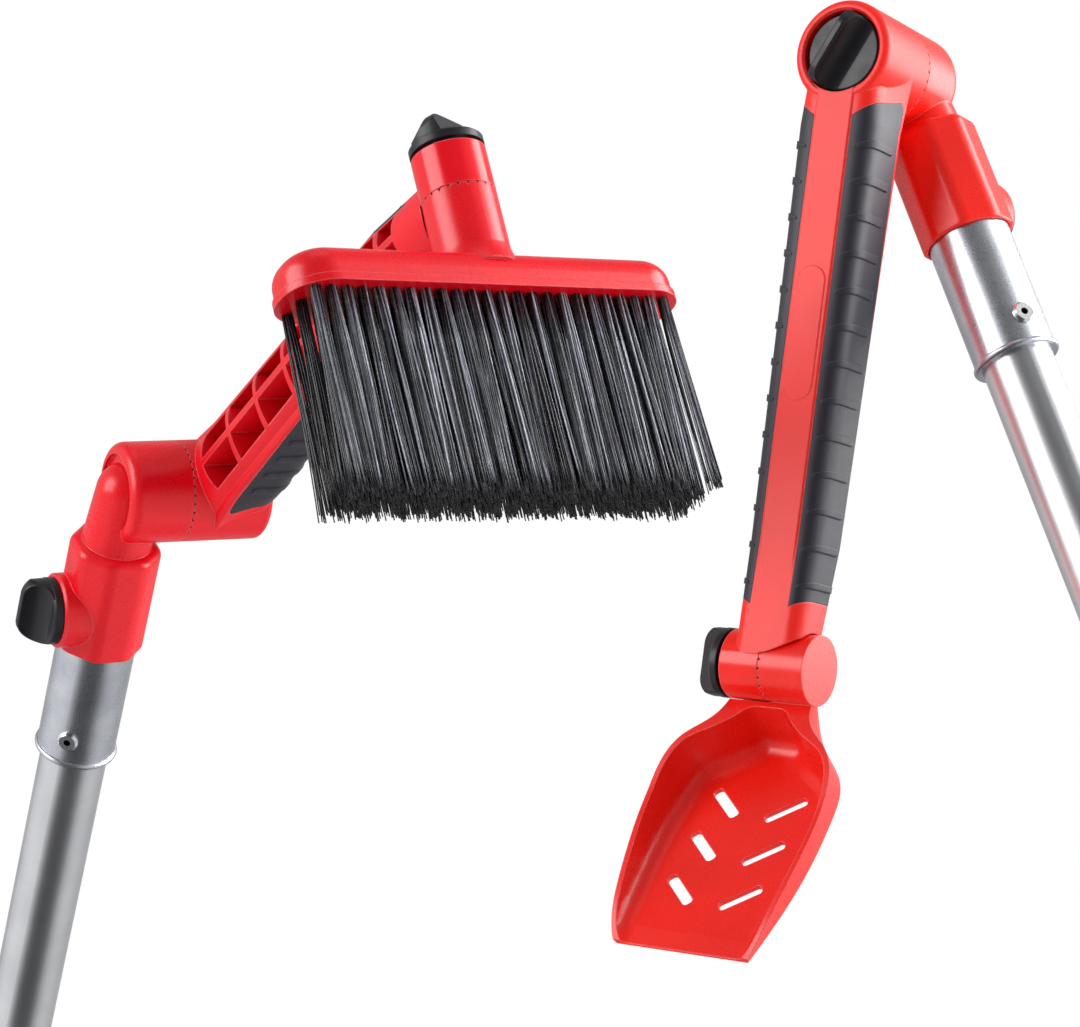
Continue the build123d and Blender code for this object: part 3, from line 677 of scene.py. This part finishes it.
@dataclass(frozen=True)
class Rectangle:
    """The outline of the bristles at one height: X and Z spans in the head's frame."""

    x_low: float
    x_high: float
    z_low: float
    z_high: float

    @classmethod
    def around(cls, points: list[Vector]) -> "Rectangle":
        """The rectangle that holds these points."""
        across = [point.x for point in points]
        along = [point.z for point in points]
        return cls(min(across), max(across), min(along), max(along))

    def at(self, across: float, along: float, margin: float) -> Spot:
        """The X and Z of a place given as two shares of the rectangle less a margin."""
        width = self.x_high - self.x_low - 2 * margin
        length = self.z_high - self.z_low - 2 * margin
        return (self.x_low + margin + width * across, self.z_low + margin + length * along)

    def hold(self, spot: Spot, margin: float) -> Spot:
        """The nearest X and Z that lie a margin inside the rectangle."""
        return (min(max(spot[0], self.x_low + margin), self.x_high - margin),
                min(max(spot[1], self.z_low + margin), self.z_high - margin))


@dataclass(frozen=True)
class Row:
    """What the tufts of one row share while they grow."""

    bm: bmesh.types.BMesh
    pattern: list[Any]
    tone: Any
    bottom: float
    top: float
    limit: Rectangle
    chance: random.Random


@dataclass
class Bristles:
    """Rows of tufts that stand for the brush's solid of bristles."""

    rows: int = 5
    tufts: int = 24
    filaments: int = 28
    tuft_radius: float = 1.7 * MILLIMETRE
    splay: float = 2.95 * MILLIMETRE
    filament_radius: float = 0.27 * MILLIMETRE
    tip_share: float = 0.8
    sides: int = 5
    spans: int = 5
    wander: float = 0.85 * MILLIMETRE
    bow: float = 0.7 * MILLIMETRE
    tuft_lean: float = 0.5 * MILLIMETRE
    uneven: float = 3.4 * MILLIMETRE
    uneven_spread: float = 1.6
    root_depth: float = 0.6 * MILLIMETRE
    # Painted shade: the paleness left to the back row, and how fast it falls off towards it.
    back_row_painted_shade: float = 0.08
    painted_shade_falloff: int = 4
    tone_spread: float = 3.0
    tip_tone: float = 0.12
    tip_crowding: float = 1.35
    edge: float = 0.02 * MILLIMETRE
    seed: int = 41

    def build(self, node: bpy.types.Object, place: Matrix,
              material: bpy.types.Material) -> list[bpy.types.Object]:
        """Grow every row.

        Args:
            node: the solid that the bristles fill.
            place: the head's frame.
            material: the filaments' finish.

        Returns:
            One object for each row.
        """
        points = local_points(node, place)
        bottom = min(point.y for point in points)
        top = max(point.y for point in points)
        middle = (bottom + top) / 2
        root = Rectangle.around([point for point in points if point.y < middle])
        tip = Rectangle.around([point for point in points if point.y > middle])
        chance = random.Random(self.seed)
        made = []
        for number in range(self.rows):
            bm = bmesh.new()
            tone = bm.verts.layers.float.new("tone")
            row = Row(bm, self.filament(bm), tone, bottom, top, tip, chance)
            across = number / (self.rows - 1)
            # Painted shade: the rows further back are darker, falling off to the back row's
            # share.
            light = self.back_row_painted_shade + (1 - self.back_row_painted_shade) * across ** self.painted_shade_falloff
            staggered = number % 2
            for index in range(self.tufts - staggered):
                along = (index + staggered / 2) / (self.tufts - 1)
                start = root.at(across, along, self.tuft_radius + self.filament_radius)
                self.tuft(row, start, tip.at(across, along, self.splay), light)
            bmesh.ops.delete(bm, geom=row.pattern, context="VERTS")
            bmesh.ops.transform(bm, matrix=place, verts=bm.verts)
            bmesh.ops.recalc_face_normals(bm, faces=bm.faces)
            made.append(object_from(bm, f"bristle_row_{number + 1}", material))
        return made

    def filament(self, bm: bmesh.types.BMesh) -> list[Any]:
        """One straight filament from height 0 to 1; returns its corners, edges and faces."""
        bmesh.ops.create_cone(
            bm, cap_ends=True, segments=self.sides, radius1=self.filament_radius,
            radius2=self.filament_radius * self.tip_share, depth=1.0,
            matrix=Matrix.Translation((0, 0, 0.5)))
        upright = [edge for edge in bm.edges
                   if abs(edge.verts[0].co.z - edge.verts[1].co.z) > 0.5]
        bmesh.ops.subdivide_edges(bm, edges=upright, cuts=self.spans - 1, use_grid_fill=True)
        return [*bm.verts, *bm.edges, *bm.faces]

    def tuft(self, row: Row, root: Spot, tip: Spot, light: float) -> None:
        """Grow one tuft.

        Args:
            row: what the row's tufts share.
            root: X and Z of the tuft's root.
            tip: X and Z of the middle of its tips, before it leans.
            light: how pale the tuft is, from 0 to 1: painted shade that darkens the rows
                further back.
        """
        chance = row.chance
        tip_x = tip[0] + chance.gauss(0, self.tuft_lean)
        tip_z = tip[1] + chance.gauss(0, self.tuft_lean)
        for index in range(self.filaments):
            turn = index * math.pi * GOLDEN_SHARE
            share = math.sqrt((index + 0.5) / self.filaments)
            aim = (math.cos(turn) * share, math.sin(turn) * share)
            foot = (root[0] + aim[0] * self.tuft_radius, root[1] + aim[1] * self.tuft_radius)
            head = (tip_x + aim[0] * self.splay + chance.gauss(0, self.wander),
                    tip_z + aim[1] * self.splay + chance.gauss(0, self.wander))
            head = row.limit.hold(head, self.filament_radius + self.edge)
            bend = (chance.gauss(0, self.bow) / 2, chance.gauss(0, self.bow) / 2)
            reach = row.top - self.edge - chance.random() ** self.uneven_spread * self.uneven
            # The row's painted shade times the filament's own random tone.
            shade = light * chance.random() ** self.tone_spread
            self.strand(row, foot, head, bend, reach, shade)

    def strand(self, row: Row, foot: Spot, head: Spot, bend: Spot, reach: float,
               shade: float) -> None:
        """Copy the row's pattern into one filament.

        Args:
            row: what the row's tufts share.
            foot: X and Z of the filament's foot.
            head: X and Z of its tip.
            bend: how far its middle bows out, in X and Z.
            reach: the height of its tip.
            shade: how pale it is below its tip, from 0 to 1: its own random tone times its
                row's painted shade.
        """
        start = row.bottom - self.root_depth
        copy = bmesh.ops.duplicate(row.bm, geom=row.pattern)
        for corner in copy["geom"]:
            if not isinstance(corner, bmesh.types.BMVert):
                continue
            rise = 1 - (1 - corner.co.z) ** self.tip_crowding
            arch = 4 * rise * (1 - rise)
            corner[row.tone] = shade * (self.tip_tone if rise > TIP_RISE else 1.0)
            corner.co = Vector((
                foot[0] + (head[0] - foot[0]) * rise + bend[0] * arch + corner.co.x,
                start + (reach - start) * rise,
                foot[1] + (head[1] - foot[1]) * rise + bend[1] * arch + corner.co.y))


# ---- the set ----------------------------------------------------------------
@dataclass
class Paint:
    """Every finish of one tool, made for its places."""

    side: Side
    places: Places
    effects: Effects
    red: Colour
    made: dict[str, bpy.types.Material] = field(default_factory=dict)

    def get(self, name: str, finish: Finish) -> bpy.types.Material:
        """The material of a finish, built on its first use."""
        label = f"{self.side.value}_{name}"
        if label not in self.made:
            self.made[label] = finish.make(label, self.effects)
        return self.made[label]

    def matt_red(self) -> bpy.types.Material:
        """Grained red of the socket."""
        return self.get("red_socket", MouldedPlastic(self.red, roughness=0.29))

    def arm_red(self) -> bpy.types.Material:
        """Grained red of the arm, polished on its half of the wrist drum."""
        return self.get("red_arm", MouldedPlastic(self.red, roughness=0.38, coat=0.0,
                                                  grain_depth=0.000026,
                                                  polished=self.places.wrist))

    def head_red(self) -> bpy.types.Material:
        """Satin red of the brush block and the scoop."""
        return self.get("red_head", MouldedPlastic(self.red, roughness=0.29, coat=0.1))

    def rubber(self) -> bpy.types.Material:
        """Dark rubber of the grips."""
        return self.get("grip_rubber", GripRubber())

    def knob_black(self) -> bpy.types.Material:
        """Glossy black of the knobs."""
        return self.get("knob_black", GlossBlack())

    def cap_black(self) -> bpy.types.Material:
        """Satin black of the end cap."""
        # Its edges get a faint painted highlight.
        return self.get("cap_black", MouldedPlastic((0.018, 0.018, 0.020), roughness=0.4,
                                                    painted_edge_highlight=0.06))

    def aluminium(self) -> bpy.types.Material:
        """Satin drawn aluminium of the pole."""
        return self.get("pole_aluminium", PlatedMetal(
            self.places.pole, (0.76, 0.77, 0.79), (0.67, 0.68, 0.71), roughness=0.31,
            roughness_span=0.06, speck=3000.0, speck_depth=0.000003))

    def zinc(self) -> bpy.types.Material:
        """Bright, sparkling zinc of the ferrule, with its seam."""
        return self.get("ferrule_zinc", PlatedMetal(
            self.places.pole, (0.70, 0.72, 0.77), (0.50, 0.52, 0.58), roughness=0.25,
            roughness_span=0.16, speck=2600.0, speck_depth=0.000016, line_depth=0.000003,
            seam_radius=14.5 * MILLIMETRE, seam_turn=125.0))

    def rivet(self) -> bpy.types.Material:
        """Bright metal of the rivets."""
        return self.get("rivet_bright", PlatedMetal(
            self.places.pole, (0.86, 0.87, 0.88), (0.72, 0.73, 0.75), roughness=0.12))

    def steel(self) -> bpy.types.Material:
        """Zinc-plated steel of the bolts and washers."""
        return self.get("bolt_steel", PlatedMetal(
            self.places.arm, (0.62, 0.63, 0.65), (0.48, 0.49, 0.52), roughness=0.22))

    def brass(self) -> bpy.types.Material:
        """Turned brass of the threaded insert."""
        return self.get("insert_brass", PlatedMetal(
            self.places.arm, (0.78, 0.58, 0.27), (0.60, 0.42, 0.18), roughness=0.25))


@dataclass
class SnowTool(ABC):
    """One tool: pole, socket, arm and head, dressed from the pole up."""

    side: Side
    frame: Frame
    effects: Effects
    head_angle: float
    red: Colour
    places: Places = field(init=False)
    paint: Paint = field(init=False)

    def __post_init__(self) -> None:
        """Read the tool's places and set out its finishes."""
        self.places = Places.read(self.frame, self.side, self.head_angle)
        self.paint = Paint(self.side, self.places, self.effects, self.red)

    def build(self) -> None:
        """Dress every solid of the tool."""
        self.dress_pole()
        self.dress_socket()
        self.dress_arm()
        self.dress_head()

    def finish(self, part: str, material: bpy.types.Material) -> None:
        """Give one solid of the tool its material."""
        name = f"{self.side.value}_{part}"
        mesh = self.frame["nodes"][name].data
        mesh.materials.clear()
        mesh.materials.append(material)
        log.info("dressed %s with %s", name, material.name)

    def dress_pole(self) -> None:
        """The tube, its ferrule and rivets, and the grip and cap at its foot."""
        self.finish("pole_tube", self.paint.aluminium())
        self.finish("pole_ferrule", self.paint.zinc())
        self.finish("ferrule_rivets", self.paint.rivet())
        self.finish("pole_grip", self.paint.rubber())
        self.finish("pole_end_cap", self.paint.cap_black())

    def dress_socket(self) -> None:
        """The elbow with its clamp screw and shoulder bolt."""
        self.finish("socket_elbow", self.paint.matt_red())
        self.finish("clamp_insert", self.paint.brass())
        self.finish("clamp_pad", self.paint.steel())
        self.finish("clamp_knob", self.paint.knob_black())
        self.finish("shoulder_bolt", self.paint.steel())

    def dress_arm(self) -> None:
        """The arm, its grips and the knobs at its two ends."""
        self.finish("arm_core", self.paint.arm_red())
        self.finish("arm_grip_left", self.paint.rubber())
        self.finish("arm_grip_right", self.paint.rubber())
        self.finish("shoulder_washer", self.paint.steel())
        self.finish("shoulder_knob", self.paint.knob_black())
        self.finish("wrist_washer", self.paint.steel())
        self.finish("wrist_knob", self.paint.knob_black())
        self.finish("wrist_bolt", self.paint.steel())

    @abstractmethod
    def dress_head(self) -> None:
        """The tool's head; each kind of tool has its own."""


@dataclass
class BrushTool(SnowTool):
    """The tool with the brush."""

    bristles: Bristles = field(default_factory=Bristles)

    def dress_head(self) -> None:
        """The block and the filaments that replace its solid of bristles."""
        self.finish("block", self.paint.head_red())
        fibre = self.paint.get("bristle_fibre", BristleFibre())
        node = self.frame["nodes"]["brush_bristles"]
        for row in self.bristles.build(node, self.places.head, fibre):
            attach(row, "brush_head")
            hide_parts("brush_bristles")
            log.info("grew %s with %d faces", row.name, len(row.data.polygons))


@dataclass
class ScoopTool(SnowTool):
    """The tool with the slotted scoop."""

    def dress_head(self) -> None:
        """The scoop."""
        self.finish("blade", self.paint.head_red())


# ---- studio -----------------------------------------------------------------
@dataclass(frozen=True)
class Softbox:
    """A square lamp that faces the middle of the set."""

    name: str
    place: Vector
    size: float
    power: float

    def build(self, target: Vector) -> None:
        """Hang the lamp and turn it to the target."""
        light = bpy.data.lights.new(self.name, "AREA")
        light.shape = "SQUARE"
        light.size = self.size
        light.energy = self.power
        lamp = bpy.data.objects.new(self.name, light)
        lamp.location = self.place
        lamp.rotation_euler = (target - self.place).to_track_quat("-Z", "Y").to_euler()
        bpy.context.scene.collection.objects.link(lamp)


@dataclass
class Studio:
    """Camera, pale floor, white surroundings and soft lamps."""

    camera_place: Vector = field(default_factory=lambda: Vector((0.29556, -1.57377, 0.53277)))
    focal_pixels: float = 3500.0
    image_width: int = 1080
    sensor: float = 36.0
    target: Vector = field(default_factory=lambda: Vector((0.30, -0.50, 0.52)))
    floor_half: float = 2.6
    floor_middle: Span = (0.3, 0.2)
    floor_tones: tuple[Colour, Colour] = ((0.86, 0.86, 0.86), (0.89, 0.89, 0.89))
    floor_speckle: float = 9.0
    floor_roughness: float = 0.7
    floor_lift: float = 0.30
    left_span: Span = (-0.42, -0.74)
    left_screen: float = 0.80
    right_span: Span = (0.28, 0.58)
    right_screen: float = 0.62
    top_span: Span = (0.60, 0.80)
    top_screen: float = 0.18
    back_span: Span = (0.25, 0.85)
    dim_back: float = 0.45
    dim_front: float = 0.08
    sky_span: Span = (-0.9, 0.9)
    sky_low: float = 0.24
    sky_high: float = 0.50

    def build(self, floor_height: float) -> None:
        """Set up everything around the object.

        Args:
            floor_height: the height of the object's lowest point.
        """
        self.hang_camera()
        self.lay_floor(floor_height)
        self.surround()
        for box in self.softboxes():
            box.build(self.target)
        bpy.context.scene.view_settings.view_transform = "Standard"

    def hang_camera(self) -> None:
        """A level camera with the photograph's view."""
        lens = bpy.data.cameras.new("camera")
        lens.sensor_fit = "HORIZONTAL"
        lens.sensor_width = self.sensor
        lens.lens = self.sensor * self.focal_pixels / self.image_width
        lens.clip_start, lens.clip_end = 0.01, 50.0
        camera = bpy.data.objects.new("camera", lens)
        camera.location = self.camera_place
        camera.rotation_euler = (math.radians(90), 0, 0)
        bpy.context.scene.collection.objects.link(camera)
        bpy.context.scene.camera = camera

    def lay_floor(self, height: float) -> None:
        """A pale floor that keeps the object's shadow and stays out of reflections."""
        surface = Surface("pale_floor")
        speckle = surface.noise(surface.coordinates, self.floor_speckle, detail=4.0)
        pale = surface.blend(surface.ramp(speckle, *MIDDLE_OF_NOISE), *self.floor_tones)
        ray = surface.node("LightPath").outputs
        surface.set(Base_Color=pale, Roughness=self.floor_roughness, Emission_Color=WHITE,
                    Emission_Strength=surface.math("MULTIPLY", ray["Is Camera Ray"],
                                                   self.floor_lift))
        unseen = surface.node("MixShader", Fac=ray["Is Glossy Ray"])
        surface.feed(unseen.inputs[1], surface.shader.outputs["BSDF"])
        surface.feed(unseen.inputs[2], surface.node("BsdfTransparent").outputs["BSDF"])
        surface.feed(surface.end.inputs["Surface"], unseen.outputs["Shader"])
        bm = bmesh.new()
        centre = Matrix.Translation((*self.floor_middle, height))
        bmesh.ops.create_grid(bm, x_segments=1, y_segments=1, size=self.floor_half,
                              matrix=centre)
        object_from(bm, "floor", surface.material, smooth=False)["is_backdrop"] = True

    def surround(self) -> None:
        """White where it is seen; in reflections a dim room with two bright screens.

        The spans are parts of a ray's direction: X for the side screens, Z for the
        one above and for the sky, Y for the paler wall behind the object.
        """
        world = bpy.data.worlds.new("studio")
        bpy.context.scene.world = world
        world.use_nodes = True
        tree = Tree(world.node_tree)
        ray = tree.node("LightPath").outputs
        split = tree.node("SeparateXYZ", Vector=tree.node("TexCoord").outputs["Generated"])
        across, depth, height = (split.outputs[axis] for axis in "XYZ")
        left = tree.ramp(across, *self.left_span, 0.0, self.left_screen)
        right = tree.ramp(across, *self.right_span, 0.0, self.right_screen)
        above = tree.ramp(height, *self.top_span, 0.0, self.top_screen)
        screens = tree.math("ADD", tree.math("MAXIMUM", tree.math("ADD", left, right), above),
                            self.dim_front)
        behind = tree.ramp(depth, *self.back_span)
        mirrored = tree.math("MULTIPLY_ADD", behind,
                             tree.math("SUBTRACT", self.dim_back, screens), screens)
        sky = tree.ramp(height, *self.sky_span, self.sky_low, self.sky_high)
        seen = tree.math("MAXIMUM", ray["Is Camera Ray"], ray["Is Transmission Ray"])
        shiny = tree.math("MULTIPLY", ray["Is Glossy Ray"], mirrored)
        direct = tree.math("MAXIMUM", seen, shiny)
        hidden = tree.math("SUBTRACT", 1.0, tree.math("MAXIMUM", seen, ray["Is Glossy Ray"]))
        strength = tree.math("MULTIPLY_ADD", hidden, sky, direct)
        glow = tree.node("Background", Color=WHITE, Strength=strength)
        tree.node("OutputWorld", Surface=glow.outputs["Background"])

    def softboxes(self) -> list[Softbox]:
        """The lamps: a broad one on the right, one on the left and a weak one overhead."""
        return [Softbox("right_lamp", Vector((1.72, -0.25, 1.00)), size=1.4, power=46.0),
                Softbox("left_lamp", Vector((-1.05, -0.95, 1.10)), size=1.0, power=18.0),
                Softbox("top_lamp", Vector((0.2, -0.3, 2.3)), size=0.9, power=1.5)]


def main() -> None:
    """Dress both tools and set the studio."""
    logging.basicConfig(level=logging.INFO, format="%(name)s: %(message)s")
    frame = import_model()
    cad_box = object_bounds()
    effects = Effects()
    tools: list[SnowTool] = [
        BrushTool(Side.BRUSH, frame, effects, head_angle=94.8, red=RED_OF_BRUSH),
        ScoopTool(Side.SCOOP, frame, effects, head_angle=36.2, red=RED_OF_SCOOP)]
    for tool in tools:
        tool.build()
    Studio().build(floor_height=cad_box[0][2])


if __name__ == "__main__":
    main()
